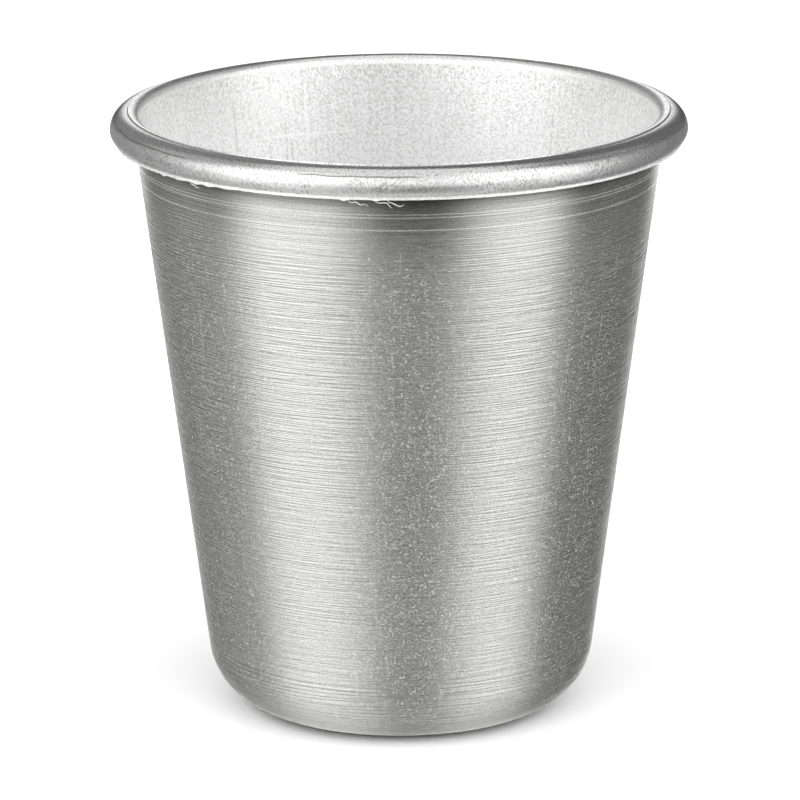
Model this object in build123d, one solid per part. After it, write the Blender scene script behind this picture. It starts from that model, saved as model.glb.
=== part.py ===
from build123d import *
from math import asin, atan2, cos, degrees, hypot, sin, tan
import os

# A cup drawn from one disc of aluminium sheet, with a tapered wall and a curled rim.
# The cup stands on its base at the origin, with +Z up its axis. Its section is a single line, the
# face of the sheet that shows from above: floor, punch corner, inner wall, then over the rim and
# round the outside of the curl to the trimmed edge. The sheet's thickness goes to the other side of
# that line, and the section turns about Z.

# Driving dimensions, in millimetres and degrees
RIM_DIAMETER = 75.0
HEIGHT = 79.8
BASE_DIAMETER = 48.6        # where the slope of the outer wall would meet the table
SHEET = 1.0                 # even all through the draw
PUNCH_CORNER_RADIUS = 7.8   # round corner between floor and wall, inside the cup
LIP_BEND_RADIUS = 0.4       # hollow side of the first bend, where the wall turns over
CURL_BEND_RADIUS = 1.5      # hollow side of the curl, from its crest to its widest point
TUCK_BEND_RADIUS = 0.6      # hollow side of the tighter bend that tucks the curl under
TUCK_ANGLE = 58.0           # how far that bend goes past the widest point
EDGE_LAND = 0.3             # short upright land at the trimmed edge

# The same bends on the face that shows, which is the outside of the curl
lip_radius = LIP_BEND_RADIUS + SHEET
curl_radius = CURL_BEND_RADIUS + SHEET
tuck_radius = TUCK_BEND_RADIUS + SHEET

# Bend centres, as (distance from the axis, height)
rim_radius = RIM_DIAMETER / 2
crest_radius = rim_radius - curl_radius
lip_centre = (crest_radius, HEIGHT - lip_radius)
curl_centre = (crest_radius, HEIGHT - curl_radius)
tuck_centre = (rim_radius - tuck_radius, HEIGHT - curl_radius)

# The outer wall rises from the base circle and grazes the hollow side of the lip bend
wall_run = lip_centre[0] - BASE_DIAMETER / 2
wall_rise = lip_centre[1]
taper = atan2(wall_run, wall_rise) - asin(LIP_BEND_RADIUS / hypot(wall_run, wall_rise))


def sheet_line():
    """The face that shows, from the middle of the floor to the trimmed edge."""
    floor_middle = (0, SHEET)
    floor_corner = (BASE_DIAMETER / 2 - SHEET / cos(taper) + SHEET * tan(taper), SHEET)
    wall_top = (lip_centre[0] - lip_radius * cos(taper), lip_centre[1] + lip_radius * sin(taper))
    draw = FilletPolyline(floor_middle, floor_corner, wall_top, radius=PUNCH_CORNER_RADIUS)
    lip = CenterArc(lip_centre, lip_radius, 180 - degrees(taper), degrees(taper) - 90)
    curl = CenterArc(curl_centre, curl_radius, 90, -90)
    tuck = CenterArc(tuck_centre, tuck_radius, 0, -TUCK_ANGLE)
    land_top = tuck @ 1
    land = Line(land_top, land_top - Vector(0, EDGE_LAND))
    return Wire([*draw.edges(), *lip.edges(), *curl.edges(), *tuck.edges(), *land.edges()])


def drawn_cup():
    """The section of the sheet, turned about the cup's axis."""
    section = make_face(offset(sheet_line(), SHEET, side=Side.RIGHT, closed=True))
    return revolve(Plane.XZ * section, Axis.Z)


cup = drawn_cup()
print(f"wall taper {degrees(taper):.2f} degrees, volume of sheet {cup.volume:.0f} cubic mm")

os.makedirs("parts", exist_ok=True)
export_step(cup, "parts/drawn_cup.step")
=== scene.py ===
# %% [markdown]
# A deep drawn aluminium cup
#
# The real cup starts as a flat disc of aluminium sheet. A punch pushes the disc through a ring until it
# is a tapered cup, a lathe tool trims the mouth, and a roller curls the trimmed edge outwards. So there
# is one piece of sheet to make, with a few threads of burr at its edge, but it has four finishes: the
# wall is brushed on a spinning mandrel, the rim is rubbed bright by the roller, the inside keeps the dull
# skin of the draw, and the trimmed edge is bare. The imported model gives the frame, in metres, with the
# cup standing on the origin and +Z up its axis.

# %% Load the frame
import math

import bpy
import numpy as np
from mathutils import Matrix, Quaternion, Vector


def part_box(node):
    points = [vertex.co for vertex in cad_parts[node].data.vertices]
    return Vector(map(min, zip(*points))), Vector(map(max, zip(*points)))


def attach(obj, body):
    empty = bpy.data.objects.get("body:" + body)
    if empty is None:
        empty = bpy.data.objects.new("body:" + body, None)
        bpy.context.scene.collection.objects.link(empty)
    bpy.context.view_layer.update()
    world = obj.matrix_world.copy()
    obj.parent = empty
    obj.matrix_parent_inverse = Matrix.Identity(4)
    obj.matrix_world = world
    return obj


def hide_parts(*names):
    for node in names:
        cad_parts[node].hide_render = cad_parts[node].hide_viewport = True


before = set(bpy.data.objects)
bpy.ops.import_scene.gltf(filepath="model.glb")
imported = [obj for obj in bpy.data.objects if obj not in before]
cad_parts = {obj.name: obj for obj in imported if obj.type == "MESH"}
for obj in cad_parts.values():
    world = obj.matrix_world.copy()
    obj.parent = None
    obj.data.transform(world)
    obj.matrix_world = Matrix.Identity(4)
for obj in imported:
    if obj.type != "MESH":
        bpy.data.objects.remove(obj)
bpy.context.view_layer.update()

MM = 0.001
scene = bpy.context.scene
cup_low, cup_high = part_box("drawn_cup")
rim_radius = (cup_high[0] - cup_low[0]) / 2 / MM
cup_height = (cup_high[2] - cup_low[2]) / MM
print(f"rim radius {rim_radius:.2f} mm, height {cup_height:.2f} mm")

# %% [markdown]
# The camera comes first, because every later choice is judged through it. The photograph was taken with
# a long lens from a little above the rim: the ellipse of the mouth gives the elevation, and the way the
# near side of the cup looks larger than the far side gives the distance. A long lens on a 36 mm sensor
# then gives the size of the cup in a square picture.

# %% Camera
CAMERA_ELEVATION = math.radians(14.77)
CAMERA_DISTANCE = 765.5 * MM
CAMERA_ORBIT_HEIGHT = 40.0 * MM
CAMERA_AIM_HEIGHT = 40.44 * MM
CAMERA_LENS = 262.28      # millimetres, as the sensor
CAMERA_SENSOR = 36.0
CAMERA_ROLL = math.radians(-0.223)

camera = bpy.data.objects.new("camera", bpy.data.cameras.new("camera"))
scene.collection.objects.link(camera)
camera.data.lens = CAMERA_LENS
camera.data.sensor_width = CAMERA_SENSOR
camera.location = (
    0.0,
    -CAMERA_DISTANCE * math.cos(CAMERA_ELEVATION),
    CAMERA_ORBIT_HEIGHT + CAMERA_DISTANCE * math.sin(CAMERA_ELEVATION),
)
sight_line = Vector((0.0, 0.0, CAMERA_AIM_HEIGHT)) - camera.location
camera.rotation_mode = "QUATERNION"
camera.rotation_quaternion = sight_line.to_track_quat("-Z", "Y") @ Quaternion((0, 0, 1), CAMERA_ROLL)
scene.camera = camera
print(f"camera {sight_line.length / MM:.0f} mm from the cup")

# %% [markdown]
# The section is the shape that a saw would show if it cut the cup in half: one strip of sheet, the same
# thickness everywhere, that runs along the floor, round the punch corner, up the wall and over the curl.
# Blender could spin a drawn curve, but the section is only lines and arcs, so it is shorter to work out
# its points. It goes from the middle of the floor, up the inside, over the rim to the trimmed edge, and
# then back along the other face of the sheet to the middle of the base.

# %% Section of the sheet
SHEET = 1.0               # thickness of the sheet, all in millimetres from here
BASE_RADIUS = 24.3        # where the slope of the outer wall would meet the table
PUNCH_CORNER = 7.8        # round corner inside the cup
LIP_HOLLOW = 0.4          # hollow side of the bend where the wall turns over
CURL_HOLLOW = 1.5         # hollow side of the curl, from crest to widest point
TUCK_HOLLOW = 0.6         # hollow side of the tighter bend that tucks the curl under
TUCK_TURN = 58.0          # degrees that this bend goes past the widest point
EDGE_LAND = 0.3           # upright land at the trimmed edge


def line(start, end, steps):
    """Points from start to end, evenly spaced: start plus a growing share of the way to end."""
    share = np.linspace(0.0, 1.0, steps + 1)[:, None]
    return np.asarray(start) + share * (np.asarray(end) - np.asarray(start))


def arc(centre, radius, first, last, steps):
    """Points of a round bend: the centre plus the radius at angles from first to last, in degrees."""
    angle = np.radians(np.linspace(first, last, steps + 1))
    return np.asarray(centre) + radius * np.stack([np.cos(angle), np.sin(angle)], axis=1)


crest_radius = rim_radius - CURL_HOLLOW - SHEET
lip_centre = (crest_radius, cup_height - LIP_HOLLOW - SHEET)
curl_centre = (crest_radius, cup_height - CURL_HOLLOW - SHEET)
tuck_centre = (rim_radius - TUCK_HOLLOW - SHEET, curl_centre[1])

wall_run = lip_centre[0] - BASE_RADIUS
wall_lean = math.atan2(wall_run, lip_centre[1])
taper = wall_lean - math.asin(LIP_HOLLOW / math.hypot(wall_run, lip_centre[1]))
taper_deg = math.degrees(taper)
corner_height = SHEET + PUNCH_CORNER
wall_at_corner_height = BASE_RADIUS + corner_height * math.tan(taper)
corner_centre = (wall_at_corner_height - corner_height / math.cos(taper), corner_height)
print(f"wall taper {taper_deg:.2f} degrees, corner centre {corner_centre[0]:.2f} mm from the axis")

# %% [markdown]
# Each stretch of the section is named, so that a finish or a dent can later be put on one stretch by
# its name. A stretch starts where the last one ended, so its first point is dropped, apart from the
# first stretch, whose first point is the pole on the axis. The last number of each stretch is its count
# of steps, with more where a bend is seen from close by. Just past the crest, the roller pressed the bead
# a little below the lip: a small step down, which fades out along the curl.

# %% Stretches from the middle of the floor to the middle of the base
LIP_STEP = 0.16                      # depth of that step
STEP_START, STEP_END = 88.0, 84.5    # degrees on the curl, from its widest point up
STEP_RINGS = 8
CURL_RINGS = 18

tuck_end = arc(tuck_centre, TUCK_HOLLOW + SHEET, 0, -TUCK_TURN, 1)[-1]
edge_bottom = tuck_end - (0, EDGE_LAND)
land_back = tuck_end - (SHEET, 0)
wall_angle = 180.0 - taper_deg
curl_radius = CURL_HOLLOW + SHEET
step_share = np.linspace(0.0, 1.0, STEP_RINGS + 1)[:, None]
step_down = LIP_STEP * step_share ** 2 * (3 - 2 * step_share)
step_fade = LIP_STEP * np.linspace(1.0, 0.0, CURL_RINGS + 1)[:, None]
stretches = {
    "floor": line((0, SHEET), (corner_centre[0], SHEET), 6),
    "inner_corner": arc(corner_centre, PUNCH_CORNER, -90, -taper_deg, 12),
    "inner_wall": None,
    "lip": arc(lip_centre, LIP_HOLLOW + SHEET, wall_angle, 90, 12),
    "lip_step": arc(curl_centre, curl_radius - step_down, STEP_START, STEP_END, STEP_RINGS),
    "curl": arc(curl_centre, curl_radius - step_fade, STEP_END, 0, CURL_RINGS),
    "tuck": arc(tuck_centre, TUCK_HOLLOW + SHEET, 0, -TUCK_TURN, 12),
    "land": line(tuck_end, edge_bottom, 3),
    "trimmed_edge": line(edge_bottom, edge_bottom - (SHEET, 0), 3),
    "land_back": line(edge_bottom - (SHEET, 0), land_back, 1),
    "land_bend": arc(tuck_end, SHEET, 180, 180 - TUCK_TURN, 4),
    "tuck_hollow": arc(tuck_centre, TUCK_HOLLOW, -TUCK_TURN, 0, 5),
    "curl_hollow": arc(curl_centre, CURL_HOLLOW, 0, 90, 7),
    "lip_hollow": arc(lip_centre, LIP_HOLLOW, 90, wall_angle, 5),
    "outer_wall": None,
    "outer_corner": arc(corner_centre, PUNCH_CORNER + SHEET, -taper_deg, -90, 12),
    "base": line((corner_centre[0], 0), (0, 0), 5),
}
stretches["inner_wall"] = line(stretches["inner_corner"][-1], stretches["lip"][0], 10)
stretches["outer_wall"] = line(stretches["lip_hollow"][-1], stretches["outer_corner"][0], 10)
section = np.concatenate([points[1:] for points in stretches.values()])[:-1]
names_of_rings = [[name] * (len(points) - 1) for name, points in stretches.items()]
stretch_of_ring = np.concatenate(names_of_rings)[:-1]
steps_along = np.diff(np.concatenate([[[0, SHEET]], section]), axis=0)
arc_length = np.cumsum(np.hypot(steps_along[:, 0], steps_along[:, 1]))


def length_along(name, share):
    """Distance along the section to a share of the way through a stretch that isn't the first."""
    own = np.flatnonzero(stretch_of_ring == name)
    start, end = arc_length[[own[0] - 1, own[-1]]]
    return float(start + share * (end - start))


print(f"{len(section)} rings, {arc_length[-1]:.1f} mm along the section")

# %% [markdown]
# Nothing rolled by a machine is perfectly even. The roller leaves the bead very slightly wavy, which only
# shows in its reflections, and the trimmed edge is ragged, with slivers of burr hanging from it in a few
# places. A sum of cosines that fit a whole number of times round the cup gives a wave with no seam, and a
# fixed seed makes it the same each time. All of it goes inwards or downwards, so the cup keeps its size.

# %% Small unevenness of the rim
AROUND = 720
RANDOM_SEED = 7
BEAD_WAVE = 0.02              # depth of the waves in the bead
BEAD_HARMONICS = (6, 40)
EDGE_RAGGED = 0.03            # depth of the raggedness of the trimmed edge
EDGE_HARMONICS = (40, 200)
FRONT = -90.0                 # the front of the cup, in degrees from +X
SLIVERS = {                   # places round the cup in degrees from the front, with length and width in mm
    -10.8: (0.20, 0.8), -4.5: (0.15, 0.8), -54.0: (0.20, 0.8), -49.0: (0.12, 2.5), -44.0: (0.16, 1.4),
    -40.5: (0.16, 1.6), -36.0: (0.10, 1.5), 131.0: (0.25, 1.2), 170.0: (0.20, 1.8), -120.0: (0.25, 1.5),
}
random = np.random.default_rng(RANDOM_SEED)
around_angle = np.arange(AROUND) * 2 * np.pi / AROUND


def wave(harmonics, angle):
    """A wave from 0 to 1 round the cup: cosines of the first to the last harmonic, each with its phase."""
    first, last = harmonics
    counts = np.arange(first, last + 1)
    phases = random.uniform(0, 2 * np.pi, len(counts))
    total = np.cos(angle[:, None] * counts + phases).sum(axis=1)
    return (total - total.min()) / np.ptp(total)


bead_wave = BEAD_WAVE * wave(BEAD_HARMONICS, around_angle)
edge_ragged = EDGE_RAGGED * wave(EDGE_HARMONICS, around_angle)
sliver_angle = np.radians(np.array(list(SLIVERS)) + FRONT)
sliver_length, sliver_width = np.array(list(SLIVERS.values())).T
gap = np.angle(np.exp(1j * (around_angle[:, None] - sliver_angle))) * tuck_end[0]
slivers = (sliver_length * np.exp(-((gap / (sliver_width / 2)) ** 2))).sum(axis=1)
print(f"{len(SLIVERS)} slivers of burr, the longest {slivers.max():.2f} mm")

# %% [markdown]
# A turned shape is a grid: one parameter runs along the section and the other round the axis. Blender's
# Screw modifier would turn the section too, but on a grid of numbers the waves and the slivers go in at
# the same step. Four neighbours on the grid make a face, the last column meets the first one again, and
# a fan of triangles round a point on the axis closes each end of the section.

# %% Surface of the cup
on_bead = np.isin(stretch_of_ring, ("lip_step", "curl", "tuck"))
on_land = np.flatnonzero(stretch_of_ring == "land")
on_edge = np.flatnonzero(stretch_of_ring == "trimmed_edge")


def turned_surface(points, angle):
    """The cup's surface: each section point (r, z) goes to (r cos a, r sin a, z) for every angle a.

    The bead is pulled in towards the axis by its wave. The last ring of the land hangs down by the
    raggedness and the slivers, and the rings of the trimmed edge by the raggedness alone."""
    r = points[:, :1] - on_bead[:, None] * bead_wave
    z = np.repeat(points[:, 1:], len(angle), axis=1)
    z[on_land[-1]] -= edge_ragged + slivers
    z[on_edge] -= edge_ragged
    return np.stack([r * np.cos(angle), r * np.sin(angle), z], axis=-1)


surface = turned_surface(section, around_angle)
rings = len(section)
vertices = np.concatenate([surface.reshape(-1, 3), [[0, 0, SHEET], [0, 0, 0]]]) * MM
number = np.arange(rings * AROUND).reshape(rings, AROUND)
beside = np.roll(number, -1, axis=1)
quads = np.stack([number[:-1], number[1:], beside[1:], beside[:-1]], axis=-1).reshape(-1, 4)
floor_pole, base_pole = rings * AROUND, rings * AROUND + 1
floor_fan = np.stack([np.full(AROUND, floor_pole), number[0], beside[0]], axis=1)
base_fan = np.stack([number[-1], np.full(AROUND, base_pole), beside[-1]], axis=1)
print(f"{2 * len(quads) + 2 * AROUND} triangles")

# %% [markdown]
# The patterns of the finishes have to follow the sheet: a brushed line runs round the cup, whatever the
# taper. So every vertex carries its own place on the sheet, as a point on a cylinder whose height is the
# distance along the section. A noise on that cylinder has no seam, and can be stretched round or along.

# %% Mesh of the cup
SHEET_CYLINDER = 30.0         # radius of that cylinder, in millimetres
SHARP_ANGLE = math.radians(40)

cup_mesh = bpy.data.meshes.new("cup_sheet")
cup_mesh.from_pydata(vertices, [], [*quads.tolist(), *floor_fan.tolist(), *base_fan.tolist()])
cup_mesh.shade_smooth()
cup_mesh.set_sharp_from_angle(angle=SHARP_ANGLE)
place = np.empty((len(vertices), 3), dtype=np.float32)
place[:-2, 0] = np.tile(SHEET_CYLINDER * np.cos(around_angle), rings)
place[:-2, 1] = np.tile(SHEET_CYLINDER * np.sin(around_angle), rings)
place[:-2, 2] = np.repeat(arc_length, AROUND)
place[-2] = (0, 0, 0)
place[-1] = (0, 0, arc_length[-1] + np.hypot(*section[-1]))
cup_mesh.attributes.new("sheet", "FLOAT_VECTOR", "POINT").data.foreach_set("vector", place.ravel())
print(f"{len(cup_mesh.polygons)} faces, mended by Blender: {cup_mesh.validate()}")

# %% [markdown]
# The cup brings its own flat map under the name OFBake, for its finishes to be laid out flat. Here it is
# the sheet rolled flat: across is the angle round the cup, and up is the distance along the section. Each
# face also takes the number of its finish from the stretch that it lies on.

# %% Flat map and finishes of the cup
BRUSHED, ROLLED, DULL, CUT = range(4)
ROLLED_STRETCHES = ("lip", "lip_step", "curl", "tuck")
CUT_STRETCHES = ("land", "trimmed_edge", "land_back")

column = np.arange(AROUND) / AROUND
halfway, beyond = column + 0.5 / AROUND, column + 1 / AROUND
row = np.append(arc_length, place[-1, 2]) / place[-1, 2]
lower, upper = np.repeat(row[:-2], AROUND), np.repeat(row[1:-1], AROUND)
quad_u = np.tile(np.stack([column, column, beyond, beyond], axis=1), (rings - 1, 1))
quad_v = np.stack([lower, upper, upper, lower], axis=1)
floor_u = np.stack([halfway, column, beyond], axis=1)
base_u = np.stack([column, halfway, beyond], axis=1)
fan_u = np.concatenate([floor_u, base_u])
fan_v = np.repeat([[0.0, row[0], row[0]], [row[-2], 1.0, row[-2]]], AROUND, axis=0)
flat_map = np.stack([np.append(quad_u, fan_u), np.append(quad_v, fan_v)], axis=1).astype(np.float32)
cup_mesh.uv_layers.new(name="OFBake").data.foreach_set("uv", flat_map.ravel())

finish_of_ring = np.full(rings, BRUSHED, dtype=np.int32)
finish_of_ring[: np.flatnonzero(stretch_of_ring == "inner_wall")[-1] + 1] = DULL
finish_of_ring[np.isin(stretch_of_ring, ROLLED_STRETCHES)] = ROLLED
finish_of_ring[np.isin(stretch_of_ring, CUT_STRETCHES)] = CUT
finish_of_fans = np.repeat([DULL, BRUSHED], AROUND)
finish_of_face = np.concatenate([np.repeat(finish_of_ring[1:], AROUND), finish_of_fans])
cup_mesh.polygons.foreach_set("material_index", finish_of_face.astype(np.int32))

cup = bpy.data.objects.new("cup_sheet", cup_mesh)
scene.collection.objects.link(cup)
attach(cup, "root")
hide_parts("drawn_cup")
print(f"faces of each finish: {np.bincount(finish_of_face).tolist()}")

# %% [markdown]
# Where the trimming tool let go, a few threads of burr still hang from the cut edge, a tenth of a
# millimetre thick. Blender could bevel a drawn curve, but a thread has to thin at both ends, so each is a
# tube worked out along a smooth curve through its points. It starts inside the edge, so the metal holds it.

# %% Threads of burr
THREADS = np.array([          # points on the way: degrees from the front, mm below the trimmed edge
    [
        (-10.6, -0.10), (-9.9, 0.23), (-9.3, 0.42), (-8.5, 0.34),
        (-7.9, 0.57), (-7.3, 0.70), (-6.8, 0.57), (-6.0, 0.86),
    ],
    [
        (-4.8, -0.10), (-4.5, 0.30), (-3.9, 0.40), (-3.1, 0.37),
        (-2.5, 0.40), (-2.2, 0.52), (-1.9, 0.78), (-1.4, 1.10),
    ],
    [
        (-2.3, -0.10), (-2.1, 0.24), (-1.7, 0.34), (-1.2, 0.45),
        (-0.6, 0.66), (0.0, 0.80), (0.5, 0.76), (0.9, 0.58),
    ],
    [
        (-45.8, -0.10), (-45.7, 0.22), (-45.3, 0.40), (-44.8, 0.36),
        (-44.5, 0.44), (-44.2, 0.55), (-43.8, 0.62), (-43.4, 0.62),
    ],
])
THREAD_RADIUS = 0.055
THREAD_END = 0.1              # share of the thickest section that is left at the ends
THREAD_DEPTH = 0.2            # how far behind the face of the land the threads hang
THREAD_RINGS = 43
THREAD_SIDES = 8


def thread_surface(points, rings, sides):
    """Tubes along smooth curves: between two points, a cubic blend of them and of one more each way.

    A ring's two directions are straight out from the cup's axis, and square to that and to the curve.
    Its radius follows the root of a half wave, so that it thins to both ends."""
    along = np.linspace(0.0, 1.0, rings)
    last = points.shape[1] - 1
    before = np.minimum((along * last).astype(int), last - 1)
    t = along * last - before
    cubics = [-t + 2 * t**2 - t**3, 2 - 5 * t**2 + 3 * t**3, t + 4 * t**2 - 3 * t**3, t**3 - t**2]
    blend = np.stack(cubics) / 2
    near = np.clip(before + np.arange(-1, 3)[:, None], 0, last)
    angle, depth = np.einsum("kt,nktc->cnt", blend, points[:, near])
    angle = np.radians(angle + FRONT)
    out = np.stack([np.cos(angle), np.sin(angle), np.zeros_like(angle)], axis=-1)
    path = out * (tuck_end[0] - THREAD_DEPTH)
    path[..., 2] = edge_bottom[1] - depth
    ahead = np.gradient(path, axis=1)
    ahead /= np.linalg.norm(ahead, axis=-1, keepdims=True)
    side = np.cross(ahead, out)
    turn = np.arange(sides) * 2 * np.pi / sides
    radius = THREAD_RADIUS * np.sqrt(THREAD_END + (1 - THREAD_END) * np.sin(np.pi * along))
    ring = np.cos(turn)[:, None] * out[:, :, None] + np.sin(turn)[:, None] * side[:, :, None]
    return path, path[:, :, None] + radius[:, None, None] * ring


thread_path, threads = thread_surface(THREADS, THREAD_RINGS, THREAD_SIDES)
print(f"{len(THREADS)} threads of burr, {np.ptp(threads[..., 2]):.2f} mm from the highest to the lowest")

# %% [markdown]
# The tubes become one mesh. Its quads join each ring to the next, and a fan of triangles closes each end.

# %% Mesh of the threads
thread_number = np.arange(threads.size // 3).reshape(threads.shape[:3])
thread_next = np.roll(thread_number, -1, axis=2)
thread_quads = np.stack(
    [thread_number[:, :-1], thread_next[:, :-1], thread_next[:, 1:], thread_number[:, 1:]], axis=-1
).reshape(-1, 4)
thread_poles = threads.size // 3 + np.arange(2 * len(THREADS)).reshape(-1, 2)
start_pole = np.repeat(thread_poles[:, :1], THREAD_SIDES, axis=1)
end_pole = np.repeat(thread_poles[:, 1:], THREAD_SIDES, axis=1)
start_fan = np.stack([start_pole, thread_next[:, 0], thread_number[:, 0]], axis=-1).reshape(-1, 3)
end_fan = np.stack([end_pole, thread_number[:, -1], thread_next[:, -1]], axis=-1).reshape(-1, 3)
thread_ends = thread_path[:, [0, -1]].reshape(-1, 3)
thread_vertices = np.concatenate([threads.reshape(-1, 3), thread_ends]) * MM
thread_faces = [*thread_quads.tolist(), *start_fan.tolist(), *end_fan.tolist()]
burr_mesh = bpy.data.meshes.new("edge_burr")
burr_mesh.from_pydata(thread_vertices, [], thread_faces)
burr_mesh.shade_smooth()
burr = bpy.data.objects.new("edge_burr", burr_mesh)
scene.collection.objects.link(burr)
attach(burr, "root")
print(f"{len(burr_mesh.polygons)} faces, mended by Blender: {burr_mesh.validate()}")

# %% [markdown]
# A node tree is easier to read as a list of lines than as wires. One small function adds any node: the
# words after its inputs set the node's own options, and its inputs take either a value or another node's
# output. Colours are written as they would be picked from a screen, and turned to linear light here. Most
# marks on the cup are thin soft bands, so there is a function for those too.

# %% Helpers for nodes and colours


def linear(hex_colour):
    """sRGB hex to linear RGBA: each channel is divided by 12.92 below the knee, else a 2.4 power."""
    channel = np.array([int(hex_colour[i:i + 2], 16) for i in (1, 3, 5)]) / 255
    light = np.where(channel <= 0.04045, channel / 12.92, ((channel + 0.055) / 1.055) ** 2.4)
    return (*light.tolist(), 1.0)


def add_node(tree, kind, inputs, **options):
    """Adds a node to a tree. inputs maps a socket's name or number to a value or an output to link."""
    node = tree.nodes.new("ShaderNode" + kind)
    for name, value in options.items():
        setattr(node, name, value)
    for socket, value in inputs.items():
        if isinstance(value, bpy.types.NodeSocket):
            tree.links.new(value, node.inputs[socket])
        else:
            node.inputs[socket].default_value = value
    return node


def new_material(name):
    """A material with an empty node tree, and that tree."""
    material = bpy.data.materials.new(name)
    material.use_nodes = True
    material.node_tree.nodes.clear()
    return material, material.node_tree


def soft_band(tree, value, edges):
    """1 between the middle two edges and 0 outside the outer two, with a smooth step on each side."""
    rise = add_node(
        tree,
        "MapRange",
        {"Value": value, "From Min": edges[0], "From Max": edges[1]},
        interpolation_type="SMOOTHSTEP",
    ).outputs[0]
    return add_node(
        tree,
        "MapRange",
        {"Value": value, "From Min": edges[2], "From Max": edges[3], "To Min": rise, "To Max": 0.0},
        interpolation_type="SMOOTHSTEP",
    ).outputs[0]


def line_edges(middle, core, reach):
    """The edges of a thin line for soft_band: full up to core from its middle, and gone at reach."""
    return (middle - reach, middle - core, middle + core, middle + reach)


def wall_length(height):
    """Distance along the section to a height on the outer wall, which the section runs down."""
    top, bottom = stretches["outer_wall"][[0, -1], 1]
    return length_along("outer_wall", (top - height) / (top - bottom))


def inside_length(height):
    """Distance along the section to a height on the inner wall, which the section runs up."""
    bottom, top = stretches["inner_wall"][[0, -1], 1]
    return length_along("inner_wall", (height - bottom) / (top - bottom))


print(f"mid grey in linear light is {linear('#808080')[0]:.3f}")

# %% [markdown]
# The outside is aluminium brushed round its axis: abrasive held against the spinning wall leaves fine
# lines that run round the cup. To the eye they do two things. They stretch every reflection up and down,
# because the lines tilt the surface only that way, and they show as short bright and dark streaks. The
# stretching is the shader's anisotropy, turned a quarter turn. The streaks are noise, long round the cup
# and thin up the wall. Real brush lines are about 0.05 mm wide, too fine to show, so they are drawn
# coarser here. They are weak under the curl, where the brush hardly reaches, deepest below that and finer
# towards the base. Three single lines below the rim are deeper: the trimming tool touched the wall there.

# %% Aluminium brushed round: the lines
LINE_WIDTH = 0.15             # millimetres, drawn coarser than the real lines
CORNER_LINE_WIDTH = 0.26      # coarser again on the base corner, which is seen at a slant
SHORT_LINE = 3.5
LONG_LINE = 16.0
LINE_SHIFT = 0.6              # how far the second noise is moved, in line widths
SHORT_LINE_SHARE = 0.7        # strength beside the long lines
CORNER_LINE_SHARE = 1.2
BRUSH_START, BRUSH_FULL, BRUSH_FOOT = 0.05, 0.24, 0.90    # shares of the way down the wall
DEPTH_START, DEPTH_FULL, DEPTH_FOOT = 0.70, 1.40, 0.62    # depth of the lines at those places
TURNED_LINES = (73.10, 72.70, 71.05)    # heights of the three deeper lines
TURNED_CORE, TURNED_REACH = 0.04, 0.13
TURNED_DEPTH = 0.35


def brush_lines(tree, place, length, width):
    """Thin lines round the cup: a long noise, minus the same noise moved a little way up the sheet."""
    scale = (1 / length, 1 / length, 1 / width)
    noises = []
    for shift in (0.0, LINE_SHIFT):
        moved = add_node(tree, "Mapping", {"Vector": place, "Location": (0, 0, shift), "Scale": scale})
        noise = add_node(tree, "TexNoise", {"Vector": moved.outputs[0], "Scale": 1.0, "Detail": 0.0})
        noises.append(noise.outputs["Fac"])
    return add_node(tree, "Math", {0: noises[0], 1: noises[1]}, operation="SUBTRACT").outputs[0]


brushed, tree = new_material("aluminium_brushed_round")
on_sheet = add_node(tree, "Attribute", {}, attribute_name="sheet").outputs["Vector"]
in_space = add_node(tree, "TexCoord", {}).outputs["Object"]
along = add_node(tree, "SeparateXYZ", {0: on_sheet}).outputs["Z"]
short_lines = brush_lines(tree, on_sheet, SHORT_LINE, LINE_WIDTH)
long_lines = brush_lines(tree, on_sheet, LONG_LINE, LINE_WIDTH)
corner_lines = brush_lines(tree, on_sheet, LONG_LINE, CORNER_LINE_WIDTH)
corner_edges = (
    length_along("outer_wall", 0.93),
    length_along("outer_corner", 0.05),
    length_along("outer_corner", 0.75),
    length_along("outer_corner", 0.95),
)
on_corner = soft_band(tree, along, corner_edges)
lines = add_node(
    tree, "Math", {0: short_lines, 1: SHORT_LINE_SHARE, 2: long_lines}, operation="MULTIPLY_ADD"
).outputs[0]
coarse = add_node(tree, "Math", {0: corner_lines, 1: on_corner}, operation="MULTIPLY").outputs[0]
lines = add_node(
    tree, "Math", {0: coarse, 1: CORNER_LINE_SHARE, 2: lines}, operation="MULTIPLY_ADD"
).outputs[0]
brushed_share = add_node(
    tree,
    "MapRange",
    {
        "Value": along,
        "From Min": length_along("outer_wall", BRUSH_START),
        "From Max": length_along("outer_wall", BRUSH_FULL),
    },
    interpolation_type="SMOOTHSTEP",
).outputs[0]
depth_below = add_node(
    tree,
    "MapRange",
    {
        "Value": along,
        "From Min": length_along("outer_wall", BRUSH_FULL),
        "From Max": length_along("outer_wall", BRUSH_FOOT),
        "To Min": DEPTH_FULL,
        "To Max": DEPTH_FOOT,
    },
).outputs[0]
line_depth = add_node(
    tree, "MapRange", {"Value": brushed_share, "To Min": DEPTH_START, "To Max": depth_below}
).outputs[0]
lines = add_node(tree, "Math", {0: lines, 1: line_depth}, operation="MULTIPLY").outputs[0]
turned = add_node(tree, "Value", {}).outputs[0]
turned.default_value = 0.0
for height in TURNED_LINES:
    one_line = soft_band(tree, along, line_edges(wall_length(height), TURNED_CORE, TURNED_REACH))
    turned = add_node(tree, "Math", {0: one_line, 1: turned}, operation="ADD").outputs[0]
lines = add_node(
    tree, "Math", {0: turned, 1: TURNED_DEPTH, 2: lines}, operation="MULTIPLY_ADD"
).outputs[0]
print(f"lines {LINE_WIDTH} mm wide and up to about {LONG_LINE:.0f} mm long")

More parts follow.
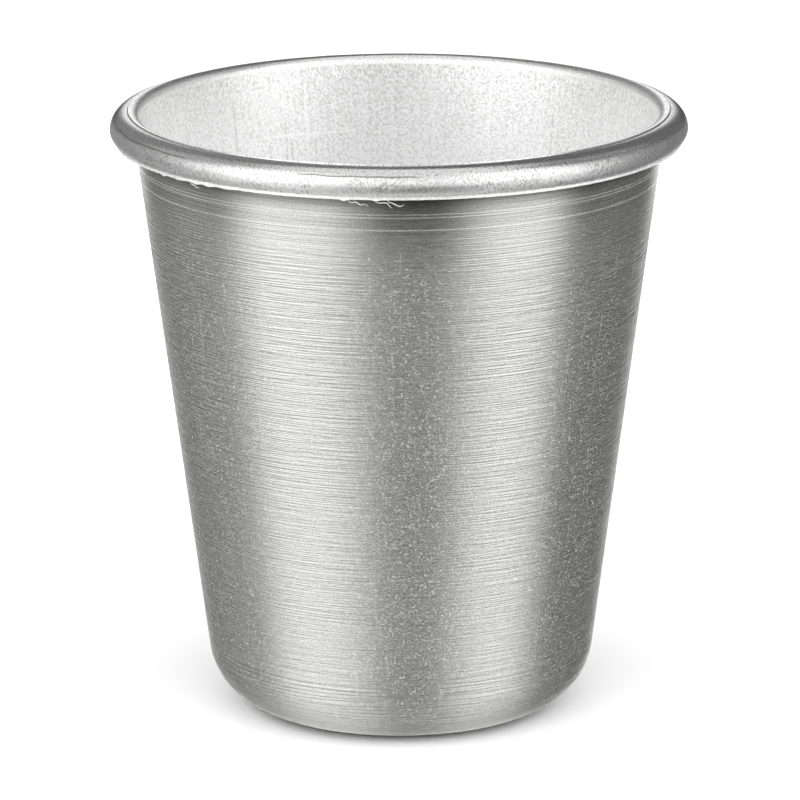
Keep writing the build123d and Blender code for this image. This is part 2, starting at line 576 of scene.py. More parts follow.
# %% [markdown]
# Between the lines is an even grain, and the wall has picked up marks: fine dust in the grain, pits, hair
# scratches that run up the wall and a few round nicks. These scatter light to all sides, so they show as
# bright specks and hairs where the wall is dark. In the shader they are places that are less metallic, so
# that some matt white shows. The pits and dust are noise cut off at a height, which leaves only its tops.

# %% Aluminium brushed round: grain and marks
GRAIN_SIZE = 0.16
DUST_LOW, DUST_HIGH = 0.44, 0.80          # heights of the grain where dust starts to show, and is full
DUST_SHARE = 0.58
PIT_SPACING = 0.30
PIT_LOW, PIT_HIGH = 0.54, 0.78
SCRATCH_WIDTH = 0.22
SCRATCH_LENGTH = 6.0
SCRATCH_TURN = (0.06, 0.04, 0.0)          # radians that the scratches lean
SCRATCH_LOW, SCRATCH_HIGH = 0.70, 0.86
NICK_SPACING = 2.0
NICK_RADIUS = 0.20
NICK_CORE = 0.5                           # share of the radius that is bare all through
WEAR_UNDER_CURL = 0.1
WEAR_OF_TURNED = 0.6

grain = add_node(
    tree, "TexNoise", {"Vector": in_space, "Scale": 1 / (GRAIN_SIZE * MM), "Detail": 1.0}
).outputs["Fac"]
dust = add_node(
    tree, "MapRange", {"Value": grain, "From Min": DUST_LOW, "From Max": DUST_HIGH, "To Max": DUST_SHARE}
).outputs[0]
pit_noise = add_node(
    tree, "TexNoise", {"Vector": in_space, "Scale": 1 / (PIT_SPACING * MM), "Detail": 0.0}
).outputs["Fac"]
pits = add_node(
    tree, "MapRange", {"Value": pit_noise, "From Min": PIT_LOW, "From Max": PIT_HIGH}
).outputs[0]
scratch_scale = (1 / SCRATCH_WIDTH, 1 / SCRATCH_WIDTH, 1 / SCRATCH_LENGTH)
scratch_place = add_node(
    tree, "Mapping", {"Vector": on_sheet, "Rotation": SCRATCH_TURN, "Scale": scratch_scale}
).outputs[0]
scratch_noise = add_node(
    tree, "TexNoise", {"Vector": scratch_place, "Scale": 1.0, "Detail": 0.0}
).outputs["Fac"]
scratches = add_node(
    tree, "MapRange", {"Value": scratch_noise, "From Min": SCRATCH_LOW, "From Max": SCRATCH_HIGH}
).outputs[0]
nick_cells = add_node(tree, "TexVoronoi", {"Vector": in_space, "Scale": 1 / (NICK_SPACING * MM)})
nick_reach = NICK_RADIUS / NICK_SPACING
nicks = add_node(
    tree,
    "MapRange",
    {
        "Value": nick_cells.outputs["Distance"],
        "From Min": nick_reach,
        "From Max": NICK_CORE * nick_reach,
    },
).outputs[0]
marked = add_node(tree, "Math", {0: pits, 1: scratches}, operation="MAXIMUM").outputs[0]
worn = add_node(tree, "Math", {0: marked, 1: dust}, operation="MAXIMUM").outputs[0]
worn_here = add_node(
    tree, "MapRange", {"Value": brushed_share, "To Min": WEAR_UNDER_CURL, "To Max": worn}
).outputs[0]
wear = add_node(
    tree, "Math", {0: turned, 1: WEAR_OF_TURNED, 2: worn_here}, operation="MULTIPLY_ADD"
).outputs[0]
wear = add_node(tree, "Math", {0: nicks, 1: wear}, operation="ADD").outputs[0]
print(f"grain of {GRAIN_SIZE} mm, nicks about {NICK_SPACING:.0f} mm apart")

# %% [markdown]
# Lines and grain together make the relief, the colour and the roughness. Along a line the metal is
# smoother and paler, and between the lines it is rougher and darker. Right under the curl the colour is
# painted with shade: a painted shadow, nearly black, just below the curl, and a milder painted shade that
# clears over the next few millimetres.

# %% Aluminium brushed round: the shader
GRAIN_RELIEF = 0.50                       # depth of the grain beside the lines
BRUSH_RELIEF = 0.023                      # millimetres
LINE_TONE = 1.25                          # strength of the lines beside the grain in the colour
TONE_LOW, TONE_HIGH = 0.10, 0.90
# Painted shade under the curl: how much of the wall's own colour shows against near black, in the painted
# shadow just below the curl and in the milder painted shade further down.
CURL_SHADOW_START, CURL_SHADOW_END = 0.05, 0.068    # shares of the way down the wall
CURL_SHADE_START, CURL_SHADE_END = 0.06, 0.14
LIT_IN_CURL_SHADOW, LIT_IN_CURL_SHADE = 0.3, 0.80
LINE_HEIGHT = 0.25                        # the lines go this far up and down
ROUGH_BETWEEN, ROUGH_ALONG = 0.63, 0.29
ROUGH_HIGH, ROUGH_LOW = 0.94, 1.04        # factors high and low on the wall
ROUGH_HIGH_AT, ROUGH_LOW_AT = 0.2, 0.9
ROUGH_UNDER_CURL = 0.5
METAL_CLEAN, METAL_WORN = 1.0, 0.72

relief = add_node(
    tree, "Math", {0: grain, 1: GRAIN_RELIEF, 2: lines}, operation="MULTIPLY_ADD"
).outputs[0]
line_tone = add_node(
    tree, "Math", {0: lines, 1: LINE_TONE, 2: grain}, operation="MULTIPLY_ADD"
).outputs[0]
brush_tone = add_node(
    tree, "MapRange", {"Value": line_tone, "From Min": TONE_LOW, "From Max": TONE_HIGH}
).outputs[0]
brush_colour = add_node(
    tree, "Mix", {0: brush_tone, 6: linear("#BEBEBB"), 7: linear("#F4F4F2")}, data_type="RGBA"
).outputs[2]
# Painted shade: just under the curl the wall colour is mixed towards near black #101010, a painted shadow,
# and stays a little darker for a few millimetres more.
painted_curl_shade = add_node(
    tree,
    "MapRange",
    {
        "Value": along,
        "From Min": length_along("outer_wall", CURL_SHADE_START),
        "From Max": length_along("outer_wall", CURL_SHADE_END),
        "To Min": LIT_IN_CURL_SHADE,
        "To Max": 1.0,
    },
    interpolation_type="SMOOTHSTEP",
).outputs[0]
past_painted_curl_shadow = add_node(
    tree,
    "MapRange",
    {
        "Value": along,
        "From Min": length_along("outer_wall", CURL_SHADOW_START),
        "From Max": length_along("outer_wall", CURL_SHADOW_END),
    },
).outputs[0]
lit_under_curl = add_node(
    tree, "MapRange", {"Value": past_painted_curl_shadow, "To Min": LIT_IN_CURL_SHADOW, "To Max": painted_curl_shade}
).outputs[0]
wall_colour = add_node(
    tree, "Mix", {0: lit_under_curl, 6: linear("#101010"), 7: brush_colour}, data_type="RGBA"
).outputs[2]
line_rough = add_node(
    tree,
    "MapRange",
    {
        "Value": lines,
        "From Min": -LINE_HEIGHT,
        "From Max": LINE_HEIGHT,
        "To Min": ROUGH_BETWEEN,
        "To Max": ROUGH_ALONG,
    },
).outputs[0]
rough_below = add_node(
    tree,
    "MapRange",
    {
        "Value": along,
        "From Min": length_along("outer_wall", ROUGH_HIGH_AT),
        "From Max": length_along("outer_wall", ROUGH_LOW_AT),
        "To Min": ROUGH_HIGH,
        "To Max": ROUGH_LOW,
    },
).outputs[0]
rough_factor = add_node(
    tree, "MapRange", {"Value": brushed_share, "To Min": ROUGH_UNDER_CURL, "To Max": rough_below}
).outputs[0]
brush_rough = add_node(tree, "Math", {0: line_rough, 1: rough_factor}, operation="MULTIPLY").outputs[0]
brush_metal = add_node(
    tree, "MapRange", {"Value": wear, "To Min": METAL_CLEAN, "To Max": METAL_WORN}, clamp=False
).outputs[0]
brush_bump = add_node(
    tree, "Bump", {"Height": relief, "Strength": 1.0, "Distance": BRUSH_RELIEF * MM}
).outputs[0]
around_axis = add_node(tree, "Tangent", {}, direction_type="RADIAL", axis="Z").outputs[0]
brush_shader = add_node(
    tree,
    "BsdfPrincipled",
    {
        "Base Color": wall_colour,
        "Metallic": brush_metal,
        "Roughness": brush_rough,
        "Anisotropic": 0.9,
        "Anisotropic Rotation": 0.25,
        "Tangent": around_axis,
        "Normal": brush_bump,
    },
)
add_node(tree, "OutputMaterial", {"Surface": brush_shader.outputs[0]})
cup_mesh.materials.append(brushed)
print(f"{brushed.name}: {len(tree.nodes)} nodes")

# %% [markdown]
# The rim is the same sheet, but the curling roller slid over it and rubbed it bright. So it is smoother
# than the wall, and its reflections are stretched the other way, along the rim. On its lower half the
# roller also left short scuffs across the bead, which are noise that is short round the cup and long
# across it. The roller passed twice, so in patches the scuffs lean one way or the other, and they are
# stronger in some places than in others.

# %% Aluminium rolled bright: the scuffs
SCUFF_WIDTH = 0.18
SCUFF_LENGTH = 0.45
SCUFF_LEANS = (0.022, -0.012)             # two passes: radians round the cup per millimetre across the bead
SCUFF_UPRIGHT_AT = 0.8                    # share of the curl where both passes stand upright
PASS_PATCH = 3.0
PASS_LOW, PASS_HIGH = 0.42, 0.58
SCUFF_START, SCUFF_FULL = 0.50, 0.78      # shares of the curl
SCUFF_LOW, SCUFF_HIGH = 0.34, 0.66
SCUFF_HEIGHT = 0.5
FAINT_PATCH = 5.0
FAINT_LOW, FAINT_HIGH = 0.40, 0.62
FAINT_SHARE = 0.15

rolled, tree = new_material("aluminium_rolled_bright")
on_sheet = add_node(tree, "Attribute", {}, attribute_name="sheet").outputs["Vector"]
in_space = add_node(tree, "TexCoord", {}).outputs["Object"]
sheet_axes = add_node(tree, "SeparateXYZ", {0: on_sheet})
along = sheet_axes.outputs["Z"]
scuff_scale = (1 / SCUFF_WIDTH, 1 / SCUFF_WIDTH, 1 / SCUFF_LENGTH)
from_upright = add_node(
    tree, "Math", {0: along, 1: length_along("curl", SCUFF_UPRIGHT_AT)}, operation="SUBTRACT"
).outputs[0]
passes = []
for lean in SCUFF_LEANS:
    lean_angle = add_node(tree, "Math", {0: from_upright, 1: lean}, operation="MULTIPLY").outputs[0]
    leaning = add_node(
        tree, "VectorRotate", {"Vector": on_sheet, "Angle": lean_angle}, rotation_type="Z_AXIS"
    ).outputs[0]
    scuff_place = add_node(tree, "Mapping", {"Vector": leaning, "Scale": scuff_scale}).outputs[0]
    one_pass = add_node(tree, "TexNoise", {"Vector": scuff_place, "Scale": 1.0, "Detail": 2.0})
    passes.append(one_pass.outputs["Fac"])
pass_patches = add_node(
    tree, "TexNoise", {"Vector": in_space, "Scale": 1 / (PASS_PATCH * MM), "Detail": 0.0}
).outputs["Fac"]
scuffs = add_node(
    tree,
    "MapRange",
    {
        "Value": pass_patches,
        "From Min": PASS_LOW,
        "From Max": PASS_HIGH,
        "To Min": passes[0],
        "To Max": passes[1],
    },
).outputs[0]
scuff_marks = add_node(
    tree,
    "MapRange",
    {
        "Value": scuffs,
        "From Min": SCUFF_LOW,
        "From Max": SCUFF_HIGH,
        "To Min": -SCUFF_HEIGHT,
        "To Max": SCUFF_HEIGHT,
    },
).outputs[0]
scuffed = add_node(
    tree,
    "MapRange",
    {
        "Value": along,
        "From Min": length_along("curl", SCUFF_START),
        "From Max": length_along("curl", SCUFF_FULL),
    },
    interpolation_type="SMOOTHSTEP",
).outputs[0]
faint_patches = add_node(
    tree, "TexNoise", {"Vector": in_space, "Scale": 1 / (FAINT_PATCH * MM), "Detail": 1.0}
).outputs["Fac"]
scuff_share = add_node(
    tree,
    "MapRange",
    {"Value": faint_patches, "From Min": FAINT_LOW, "From Max": FAINT_HIGH, "To Min": FAINT_SHARE},
).outputs[0]
scuff_amount = add_node(tree, "Math", {0: scuff_share, 1: scuffed}, operation="MULTIPLY").outputs[0]
scuff_height = add_node(
    tree, "Math", {0: scuff_marks, 1: scuff_amount}, operation="MULTIPLY"
).outputs[0]
print(f"{len(passes)} passes of scuffs, {SCUFF_WIDTH} mm wide")

# %% [markdown]
# Where the roller lapped its own track, it folded a fine crease into the middle of the curl. A crease
# wanders a little and runs only part of the way round, so it is a thin band along the sheet, moved up and
# down by a slow noise, times a band of angles round the cup.

# %% Aluminium rolled bright: the creases
CREASE_WANDER = 0.5
WANDER_LENGTH = 3.0
CREASE_CORE, CREASE_REACH = 0.03, 0.12
CREASES = {               # degrees from the front where it starts and ends, share of the curl, depth
    "front": ((-21, -17, 0, 6), 0.60, 1.0),
    "left": ((-82, -76, -50, -42), 0.60, 0.4),
    "right": ((36, 42, 66, 74), 0.56, 0.15),
    "back": ((120, 126, 170, 176), 0.55, 0.6),
}


def degrees_from_front(tree, axes):
    """Degrees round the cup from its front: the angle whose tangent is x over minus y."""
    forward = add_node(tree, "Math", {0: axes.outputs["Y"], 1: -1.0}, operation="MULTIPLY").outputs[0]
    angle = add_node(tree, "Math", {0: axes.outputs["X"], 1: forward}, operation="ARCTAN2").outputs[0]
    return add_node(tree, "Math", {0: angle}, operation="DEGREES").outputs[0]


rim_degrees = degrees_from_front(tree, sheet_axes)
wander_scale = (1 / WANDER_LENGTH, 1 / WANDER_LENGTH, 0.0)
wander_place = add_node(tree, "Mapping", {"Vector": on_sheet, "Scale": wander_scale}).outputs[0]
wander = add_node(tree, "TexNoise", {"Vector": wander_place, "Scale": 1.0, "Detail": 1.0}).outputs["Fac"]
wandered = add_node(
    tree, "Math", {0: wander, 1: CREASE_WANDER, 2: along}, operation="MULTIPLY_ADD"
).outputs[0]
crease = add_node(tree, "Value", {}).outputs[0]
crease.default_value = 0.0
for round_edges, share, depth in CREASES.values():
    middle = length_along("curl", share) + CREASE_WANDER / 2
    one_line = soft_band(tree, wandered, line_edges(middle, CREASE_CORE, CREASE_REACH))
    one_stretch = soft_band(tree, rim_degrees, round_edges)
    one_crease = add_node(tree, "Math", {0: one_line, 1: one_stretch}, operation="MULTIPLY").outputs[0]
    crease = add_node(
        tree, "Math", {0: one_crease, 1: depth, 2: crease}, operation="MULTIPLY_ADD"
    ).outputs[0]
print(f"{len(CREASES)} creases in the curl")

# %% [markdown]
# Scuffs, creases, pits and a fine grain make the relief of the rim. The grain gives the colour its own
# tone, and the low places, above all the creases, are painted darker: a painted shade. The lip is still
# dull on its inner side, where it goes over into the skin of the inside, and is bright from its crest on.
# The scuffed half is rougher again.

# %% Aluminium rolled bright: the shader
RIM_GRAIN = 0.22
RIM_PIT = 0.38
RIM_PIT_LOW, RIM_PIT_HIGH = 0.65, 0.76
CREASE_DEPTH, RIM_PIT_DEPTH, RIM_GRAIN_HEIGHT = -1.5, -0.4, 0.9
RIM_RELIEF = 0.024                        # millimetres
RIM_TONE_LOW, RIM_TONE_HIGH = -0.1, 0.6
POLISH_START, POLISH_FULL = 0.0, 0.8      # shares of the lip
ROUGH_LIP, ROUGH_POLISHED, ROUGH_SCUFFED = 0.42, 0.15, 0.36
METAL_LIP, METAL_POLISHED = 0.65, 1.0

rim_grain = add_node(
    tree, "TexNoise", {"Vector": in_space, "Scale": 1 / (RIM_GRAIN * MM), "Detail": 1.0}
).outputs["Fac"]
rim_pit_noise = add_node(
    tree, "TexNoise", {"Vector": in_space, "Scale": 1 / (RIM_PIT * MM), "Detail": 1.0}
).outputs["Fac"]
rim_pits = add_node(
    tree, "MapRange", {"Value": rim_pit_noise, "From Min": RIM_PIT_LOW, "From Max": RIM_PIT_HIGH}
).outputs[0]
rim_relief = scuff_height
for mark, height in ((crease, CREASE_DEPTH), (rim_pits, RIM_PIT_DEPTH), (rim_grain, RIM_GRAIN_HEIGHT)):
    rim_relief = add_node(
        tree, "Math", {0: mark, 1: height, 2: rim_relief}, operation="MULTIPLY_ADD"
    ).outputs[0]
# Painted shade: the colour is darker where the relief is low, above all along the creases; the grain gives
# the rest of its tone.
rim_grain_tone_and_crease_shade = add_node(
    tree, "MapRange", {"Value": rim_relief, "From Min": RIM_TONE_LOW, "From Max": RIM_TONE_HIGH}
).outputs[0]
rim_colour = add_node(
    tree, "Mix", {0: rim_grain_tone_and_crease_shade, 6: linear("#AFAFAC"), 7: linear("#FEFEFE")}, data_type="RGBA"
).outputs[2]
polished = add_node(
    tree,
    "MapRange",
    {
        "Value": along,
        "From Min": length_along("lip", POLISH_START),
        "From Max": length_along("lip", POLISH_FULL),
    },
    interpolation_type="SMOOTHSTEP",
).outputs[0]
lip_rough = add_node(
    tree, "MapRange", {"Value": polished, "To Min": ROUGH_LIP, "To Max": ROUGH_POLISHED}
).outputs[0]
rim_rough = add_node(
    tree, "MapRange", {"Value": scuffed, "To Min": lip_rough, "To Max": ROUGH_SCUFFED}
).outputs[0]
rim_metal = add_node(
    tree, "MapRange", {"Value": polished, "To Min": METAL_LIP, "To Max": METAL_POLISHED}
).outputs[0]
rim_bump = add_node(
    tree, "Bump", {"Height": rim_relief, "Strength": 1.0, "Distance": RIM_RELIEF * MM}
).outputs[0]
around_axis = add_node(tree, "Tangent", {}, direction_type="RADIAL", axis="Z").outputs[0]
rim_shader = add_node(
    tree,
    "BsdfPrincipled",
    {
        "Base Color": rim_colour,
        "Metallic": rim_metal,
        "Roughness": rim_rough,
        "Anisotropic": 0.6,
        "Tangent": around_axis,
        "Normal": rim_bump,
    },
)
add_node(tree, "OutputMaterial", {"Surface": rim_shader.outputs[0]})
cup_mesh.materials.append(rolled)
print(f"{rolled.name}: {len(tree.nodes)} nodes")

# %% [markdown]
# The inside was never brushed. It keeps the dull, even skin that the punch and its oil leave on the
# sheet: a fine grain with no direction, and faint marks that run up the wall where the punch slid out. A
# few of those are deep enough to see one by one, and grit turning with the punch drew one level scratch.
# All of them are heights that are added to the grain.

# %% Aluminium dull as drawn: the marks
DULL_GRAIN = 0.35
PUNCH_MARK_WIDTH = 0.5
PUNCH_MARK_LENGTH = 40.0
PUNCH_MARK_SHARE = 0.2                    # height of the faint marks beside the grain
PUNCH_MARKS = {               # degrees from the front: heights where a mark starts and ends, depth
    -138: (62.0, 76.5, 0.8), -157.5: (62.0, 77.5, -0.6), -152: (62.0, 72.5, 0.9),
    -153.5: (62.0, 69.5, 1.0), -159.5: (62.0, 69.5, 0.8), -147.5: (62.0, 69.5, 0.7),
    141.0: (62.0, 74.0, 0.6), 158.0: (62.0, 77.0, -0.6), 22.0: (20.0, 70.0, 0.8),
    -35.0: (30.0, 76.0, 0.7), 75.0: (15.0, 72.0, -0.8),
}
MARK_CORE, MARK_REACH = 0.1, 0.35         # half widths of such a mark, in degrees
MARK_FADE_LOW, MARK_FADE_HIGH = 3.0, 1.5
MARK_DEPTH = -0.3
LEVEL_SCRATCH_HEIGHT = 69.7
LEVEL_SCRATCH_REACH = (-172, -165, -155, -139)    # degrees from the front
LEVEL_CORE, LEVEL_REACH = 0.05, 0.25
LEVEL_SCRATCH_SHARE = 0.22

dull, tree = new_material("aluminium_dull_as_drawn")
on_sheet = add_node(tree, "Attribute", {}, attribute_name="sheet").outputs["Vector"]
in_space = add_node(tree, "TexCoord", {}).outputs["Object"]
sheet_axes = add_node(tree, "SeparateXYZ", {0: on_sheet})
along = sheet_axes.outputs["Z"]
inside_degrees = degrees_from_front(tree, sheet_axes)
dull_grain = add_node(
    tree, "TexNoise", {"Vector": in_space, "Scale": 1 / (DULL_GRAIN * MM), "Detail": 1.0}
).outputs["Fac"]
mark_scale = (1 / PUNCH_MARK_WIDTH, 1 / PUNCH_MARK_WIDTH, 1 / PUNCH_MARK_LENGTH)
mark_place = add_node(tree, "Mapping", {"Vector": on_sheet, "Scale": mark_scale}).outputs[0]
faint_marks = add_node(
    tree, "TexNoise", {"Vector": mark_place, "Scale": 1.0, "Detail": 1.0}
).outputs["Fac"]
dull_relief = add_node(
    tree, "Math", {0: faint_marks, 1: PUNCH_MARK_SHARE, 2: dull_grain}, operation="MULTIPLY_ADD"
).outputs[0]
for degrees, (start, end, depth) in PUNCH_MARKS.items():
    across = soft_band(tree, inside_degrees, line_edges(degrees, MARK_CORE, MARK_REACH))
    low, high = inside_length(start), inside_length(end)
    upright = soft_band(tree, along, (low - MARK_FADE_LOW, low, high - MARK_FADE_HIGH, high))
    one_mark = add_node(tree, "Math", {0: across, 1: upright}, operation="MULTIPLY").outputs[0]
    dull_relief = add_node(
        tree, "Math", {0: one_mark, 1: MARK_DEPTH * depth, 2: dull_relief}, operation="MULTIPLY_ADD"
    ).outputs[0]
level_edges = line_edges(inside_length(LEVEL_SCRATCH_HEIGHT), LEVEL_CORE, LEVEL_REACH)
level_line = soft_band(tree, along, level_edges)
level_reach = soft_band(tree, inside_degrees, LEVEL_SCRATCH_REACH)
level_scratch = add_node(tree, "Math", {0: level_line, 1: level_reach}, operation="MULTIPLY").outputs[0]
dull_relief = add_node(
    tree, "Math", {0: level_scratch, 1: LEVEL_SCRATCH_SHARE, 2: dull_relief}, operation="MULTIPLY_ADD"
).outputs[0]
print(f"{len(PUNCH_MARKS)} deeper marks of the punch")

# %% [markdown]
# Just under the lip, the roller's mandrel left a belt of short scuffs, so the skin is marked there. Deeper
# in the cup the colour is painted paler, a painted light that makes up for the shade that falls there. This
# skin scatters light so widely that it looks almost white, so it is part matt as well as metallic.

# %% Aluminium dull as drawn: the belt and the shader
BELT_WIDTH = 0.25
BELT_LENGTH = 0.6
BELT_LOW, BELT_HIGH = 0.35, 0.7
BELT_DOWN, BELT_UP = -0.5, 0.6
BELT_START, BELT_FULL = 75.5, 77.5        # heights on the inner wall
BELT_FADES, BELT_ENDS = 0.4, 0.6          # shares of the lip
BELT_SHARE = 0.35
# Painted light: the inside colour is full paler below the first height and back to plain by the second,
# against the shade deep in the cup.
DEPTH_LIGHT_FULL_BELOW, DEPTH_LIGHT_GONE_ABOVE = 66.0, 75.0     # heights on the inner wall
DEPTH_LIGHT_TONE = 0.13
DULL_TONE_LOW, DULL_TONE_HIGH = 0.30, 0.80
DULL_RELIEF = 0.04                        # millimetres
DULL_GRAIN_LOW, DULL_GRAIN_HIGH = 0.3, 0.7
DULL_ROUGH_LOW, DULL_ROUGH_HIGH = 0.34, 0.42

belt_scale = (1 / BELT_WIDTH, 1 / BELT_WIDTH, 1 / BELT_LENGTH)
belt_place = add_node(tree, "Mapping", {"Vector": on_sheet, "Scale": belt_scale}).outputs[0]
belt_noise = add_node(
    tree, "TexNoise", {"Vector": belt_place, "Scale": 1.0, "Detail": 1.0}
).outputs["Fac"]
belt_marks = add_node(
    tree,
    "MapRange",
    {
        "Value": belt_noise,
        "From Min": BELT_LOW,
        "From Max": BELT_HIGH,
        "To Min": BELT_DOWN,
        "To Max": BELT_UP,
    },
).outputs[0]
belt_edges = (
    inside_length(BELT_START),
    inside_length(BELT_FULL),
    length_along("lip", BELT_FADES),
    length_along("lip", BELT_ENDS),
)
belt = soft_band(tree, along, belt_edges)
belt_height = add_node(tree, "Math", {0: belt_marks, 1: belt}, operation="MULTIPLY").outputs[0]
dull_relief = add_node(
    tree, "Math", {0: belt_height, 1: BELT_SHARE, 2: dull_relief}, operation="MULTIPLY_ADD"
).outputs[0]
# Painted light: a paler colour deeper in the cup, which makes up for the shade that falls there.
painted_depth_light = add_node(
    tree,
    "MapRange",
    {
        "Value": along,
        "From Min": inside_length(DEPTH_LIGHT_FULL_BELOW),
        "From Max": inside_length(DEPTH_LIGHT_GONE_ABOVE),
        "To Min": DEPTH_LIGHT_TONE,
        "To Max": 0.0,
    },
).outputs[0]
dull_relief_and_depth_light = add_node(tree, "Math", {0: dull_relief, 1: painted_depth_light}, operation="ADD").outputs[0]
dull_tone = add_node(
    tree, "MapRange", {"Value": dull_relief_and_depth_light, "From Min": DULL_TONE_LOW, "From Max": DULL_TONE_HIGH}
).outputs[0]
dull_colour = add_node(
    tree, "Mix", {0: dull_tone, 6: linear("#D0D0CF"), 7: linear("#FFFFFF")}, data_type="RGBA"
).outputs[2]
dull_rough = add_node(
    tree,
    "MapRange",
    {
        "Value": dull_grain,
        "From Min": DULL_GRAIN_LOW,
        "From Max": DULL_GRAIN_HIGH,
        "To Min": DULL_ROUGH_LOW,
        "To Max": DULL_ROUGH_HIGH,
    },
).outputs[0]
dull_bump = add_node(
    tree, "Bump", {"Height": dull_relief, "Strength": 1.0, "Distance": DULL_RELIEF * MM}
).outputs[0]
dull_shader = add_node(
    tree,
    "BsdfPrincipled",
    {"Base Color": dull_colour, "Metallic": 0.73, "Roughness": dull_rough, "Normal": dull_bump},
)
add_node(tree, "OutputMaterial", {"Surface": dull_shader.outputs[0]})
cup_mesh.materials.append(dull)
print(f"{dull.name}: {len(tree.nodes)} nodes")

# %% [markdown]
# The trimmed edge was cut by a lathe tool after the draw, so it is bare bright metal with fine turned
# lines and a torn, slightly rough face. It catches light from every side, and shows as a thin bright line
# under the bead. The threads of burr are chips of the same cut. The tears are noise that is longer round
# the cup than up it.

# %% Aluminium, cut by the trimming tool
CUT_LINE = 0.12
CUT_TEAR = 0.5
CUT_TONE_LOW, CUT_TONE_HIGH = 0.3, 0.7
CUT_ROUGH_LOW, CUT_ROUGH_HIGH = 0.35, 0.55
CUT_RELIEF = 0.03                         # millimetres

cut, tree = new_material("aluminium_cut_edge")
in_space = add_node(tree, "TexCoord", {}).outputs["Object"]
cut_scale = (1 / (CUT_TEAR * MM), 1 / (CUT_TEAR * MM), 1 / (CUT_LINE * MM))
cut_place = add_node(tree, "Mapping", {"Vector": in_space, "Scale": cut_scale}).outputs[0]
tears = add_node(tree, "TexNoise", {"Vector": cut_place, "Scale": 1.0, "Detail": 2.0}).outputs["Fac"]
cut_tone = add_node(
    tree, "MapRange", {"Value": tears, "From Min": CUT_TONE_LOW, "From Max": CUT_TONE_HIGH}
).outputs[0]
cut_colour = add_node(
    tree, "Mix", {0: cut_tone, 6: linear("#D8D8D6"), 7: linear("#FEFEFE")}, data_type="RGBA"
).outputs[2]
cut_rough = add_node(
    tree, "MapRange", {"Value": tears, "To Min": CUT_ROUGH_LOW, "To Max": CUT_ROUGH_HIGH}
).outputs[0]
cut_bump = add_node(
    tree, "Bump", {"Height": tears, "Strength": 1.0, "Distance": CUT_RELIEF * MM}
).outputs[0]
cut_shader = add_node(
    tree,
    "BsdfPrincipled",
    {"Base Color": cut_colour, "Metallic": 0.5, "Roughness": cut_rough, "Normal": cut_bump},
)
add_node(tree, "OutputMaterial", {"Surface": cut_shader.outputs[0]})
cup_mesh.materials.append(cut)
burr_mesh.materials.append(cut)
print(f"{cut.name}: {len(tree.nodes)} nodes")

# %% [markdown]
# The floor is plain white card. It only has to catch the soft shadow under the cup, so the metal doesn't
# see it: the cup reflects the studio alone, whose pale ground stands for the card, and that keeps its
# tones easy to set. It lies a hair below the base, so that the two flat faces don't flicker.

# %% Floor
FLOOR_HALF = 4.0              # metres
FLOOR_DROP = 0.05 * MM

floor_mesh = bpy.data.meshes.new("floor")
floor_corners = np.array([[-1, -1], [1, -1], [1, 1], [-1, 1]]) * FLOOR_HALF
floor_mesh.from_pydata(np.column_stack([floor_corners, np.full(4, -FLOOR_DROP)]), [], [(0, 1, 2, 3)])
floor = bpy.data.objects.new("floor", floor_mesh)
scene.collection.objects.link(floor)
floor.visible_glossy = False
card, tree = new_material("card_white_matt")
card_shader = add_node(tree, "BsdfDiffuse", {"Color": linear("#FCFCFC")})
add_node(tree, "OutputMaterial", {"Surface": card_shader.outputs[0]})
floor_mesh.materials.append(card)
print(f"floor {2 * FLOOR_HALF:.0f} m across")

# %% [markdown]
# A metal has no look of its own: it shows the room. The studio is a dim dome with soft white panels: one
# on each side of the camera with a dark gap between them, one in front and one overhead. Fainter ones
# stand at the sides and the back, and a pale ground lies below. Behind the cup, a narrow strip lights the
# crest of the rim, two strong ones low down draw pale edges on the wall, and two dark cards between them
# draw the outline of the rim. Lamps could light it too, but a metal would mirror their hard shapes. So
# each panel is worked out from the direction that a ray leaves in, as its angle round the cup and its
# angle above the horizon.

# %% Panels of the studio
AMBIENT = 0.05
PANELS = {                    # degrees round from the front, degrees above the horizon, brightness
    "left": ((-92, -62, -44, 0), (-82, -22, 30, 75), 1.09),
    "right": ((16, 52, 66, 94), (-82, -22, 30, 75), 1.04),
    "front": ((-104, -82, 72, 92), (-9, 16, 56, 70), 0.68),
    "top": ((-200, -190, 190, 200), (56, 70, 190, 200), 0.72),
    "ground": ((-165, -125, 110, 150), (-200, -190, -88, -38), 0.66),
    "low_left": ((-140, -110, -80, -50), (-95, -60, -25, -8), 0.20),
    "low_right": ((50, 80, 110, 140), (-95, -60, -25, -8), 0.08),
    "back_left": ((-200, -190, -120, -70), (-200, -190, 40, 80), 0.17),
    "back_right": ((70, 120, 190, 200), (-200, -190, 40, 80), 0.09),
    "side_left": ((-140, -125, -100, -85), (12, 28, 50, 75), 0.19),
    "side_right": ((85, 100, 125, 140), (12, 28, 50, 75), 0.14),
    "behind_left": ((-200, -190, -176, -164), (2, 6, 18, 26), 0.95),
    "behind_right": ((164, 176, 190, 200), (2, 6, 18, 26), 0.95),
    "edge_left": ((-200, -190, -178, -150), (-50, -36, -18, -9), 1.9),
    "edge_right": ((150, 178, 190, 200), (-50, -36, -18, -9), 2.7),
    "dark_left": ((-200, -190, -168, -150), (-8, -4, 3, 8), -0.12),
    "dark_right": ((150, 168, 190, 200), (-8, -4, 3, 8), -0.06),
}
WHITE = 0.62
WHITE_PANELS = {"low_front": ((-140, -80, 80, 140), (2, 20, 42, 65), 2.3)}

world = bpy.data.worlds.new("studio")
scene.world = world
world.use_nodes = True
world.cycles.sampling_method = "NONE"
tree = world.node_tree
tree.nodes.clear()
direction = add_node(tree, "TexCoord", {}).outputs["Generated"]
axes = add_node(tree, "SeparateXYZ", {0: direction})
round_degrees = degrees_from_front(tree, axes)
high_angle = add_node(tree, "Math", {0: axes.outputs["Z"]}, operation="ARCSINE").outputs[0]
high_degrees = add_node(tree, "Math", {0: high_angle}, operation="DEGREES").outputs[0]


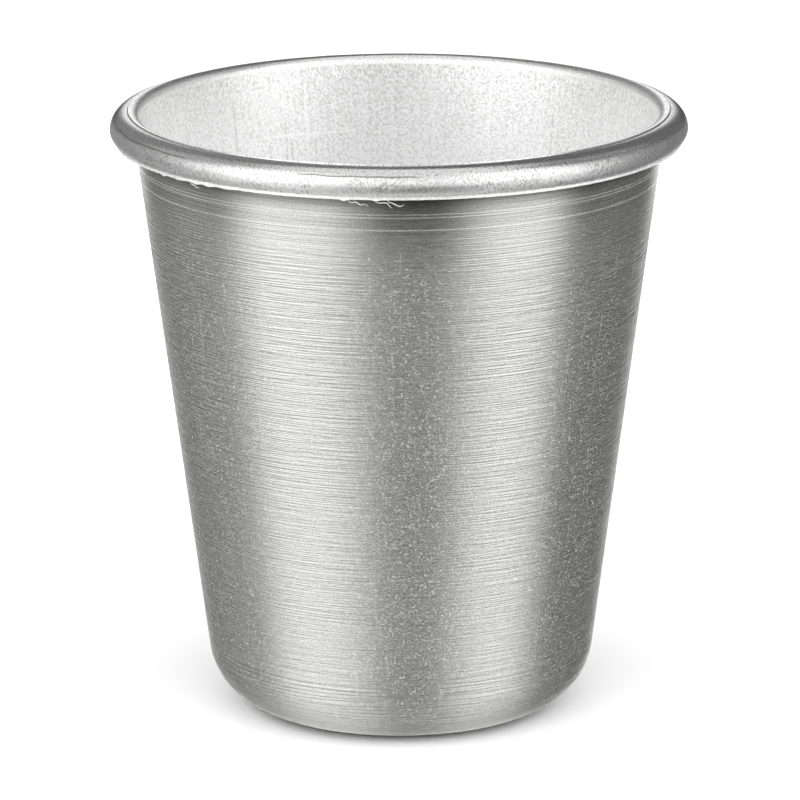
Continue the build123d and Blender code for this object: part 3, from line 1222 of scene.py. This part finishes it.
def dome_brightness(base, panels):
    """The brightness of a dome: its base, plus each panel's brightness times its two soft bands."""
    total = add_node(tree, "Value", {}).outputs[0]
    total.default_value = base
    for round_edges, high_edges, strength in panels.values():
        across = soft_band(tree, round_degrees, round_edges)
        upright = soft_band(tree, high_degrees, high_edges)
        panel = add_node(tree, "Math", {0: across, 1: upright}, operation="MULTIPLY").outputs[0]
        total = add_node(
            tree, "Math", {0: panel, 1: strength, 2: total}, operation="MULTIPLY_ADD"
        ).outputs[0]
    return total


dome = dome_brightness(AMBIENT, PANELS)
print(f"studio of {len(PANELS)} panels")

# %% [markdown]
# Only the metal sees this dome. The floor sees plain white that is brightest from low in front, so the
# shadow under the cup stays narrow, and the camera sees white behind the floor. One case needs care: light
# that goes from the floor to the cup and down again would pass through the floor, which the metal doesn't
# see, and brighten the dark gap under the cup. So for such rays the dome is black below the horizon.

# %% What the metal, the floor and the camera see
GAP_STARTS, GAP_FULL = 0.0, -8.0          # degrees above the horizon
BACKDROP = 1.0

path = add_node(tree, "LightPath", {})
downwards = add_node(
    tree, "MapRange", {"Value": high_degrees, "From Min": GAP_STARTS, "From Max": GAP_FULL}
).outputs[0]
in_gap = add_node(
    tree,
    "Math",
    {0: path.outputs["Diffuse Depth"], 1: downwards},
    operation="MULTIPLY",
    use_clamp=True,
).outputs[0]
out_of_gap = add_node(tree, "Math", {0: 1.0, 1: in_gap}, operation="SUBTRACT").outputs[0]
metal_sees = add_node(tree, "Math", {0: dome, 1: out_of_gap}, operation="MULTIPLY").outputs[0]
floor_sees = dome_brightness(WHITE, WHITE_PANELS)
metal_light, floor_light, backdrop = [
    add_node(tree, "Background", {"Color": linear("#FFFFFF"), "Strength": strength}).outputs[0]
    for strength in (metal_sees, floor_sees, BACKDROP)
]
light = add_node(
    tree, "MixShader", {0: path.outputs["Is Glossy Ray"], 1: floor_light, 2: metal_light}
).outputs[0]
shown = add_node(
    tree, "MixShader", {0: path.outputs["Is Camera Ray"], 1: light, 2: backdrop}
).outputs[0]
add_node(tree, "OutputWorld", {"Surface": shown})
scene.view_settings.view_transform = "Standard"
print(f"{world.name}: {len(tree.nodes)} nodes")
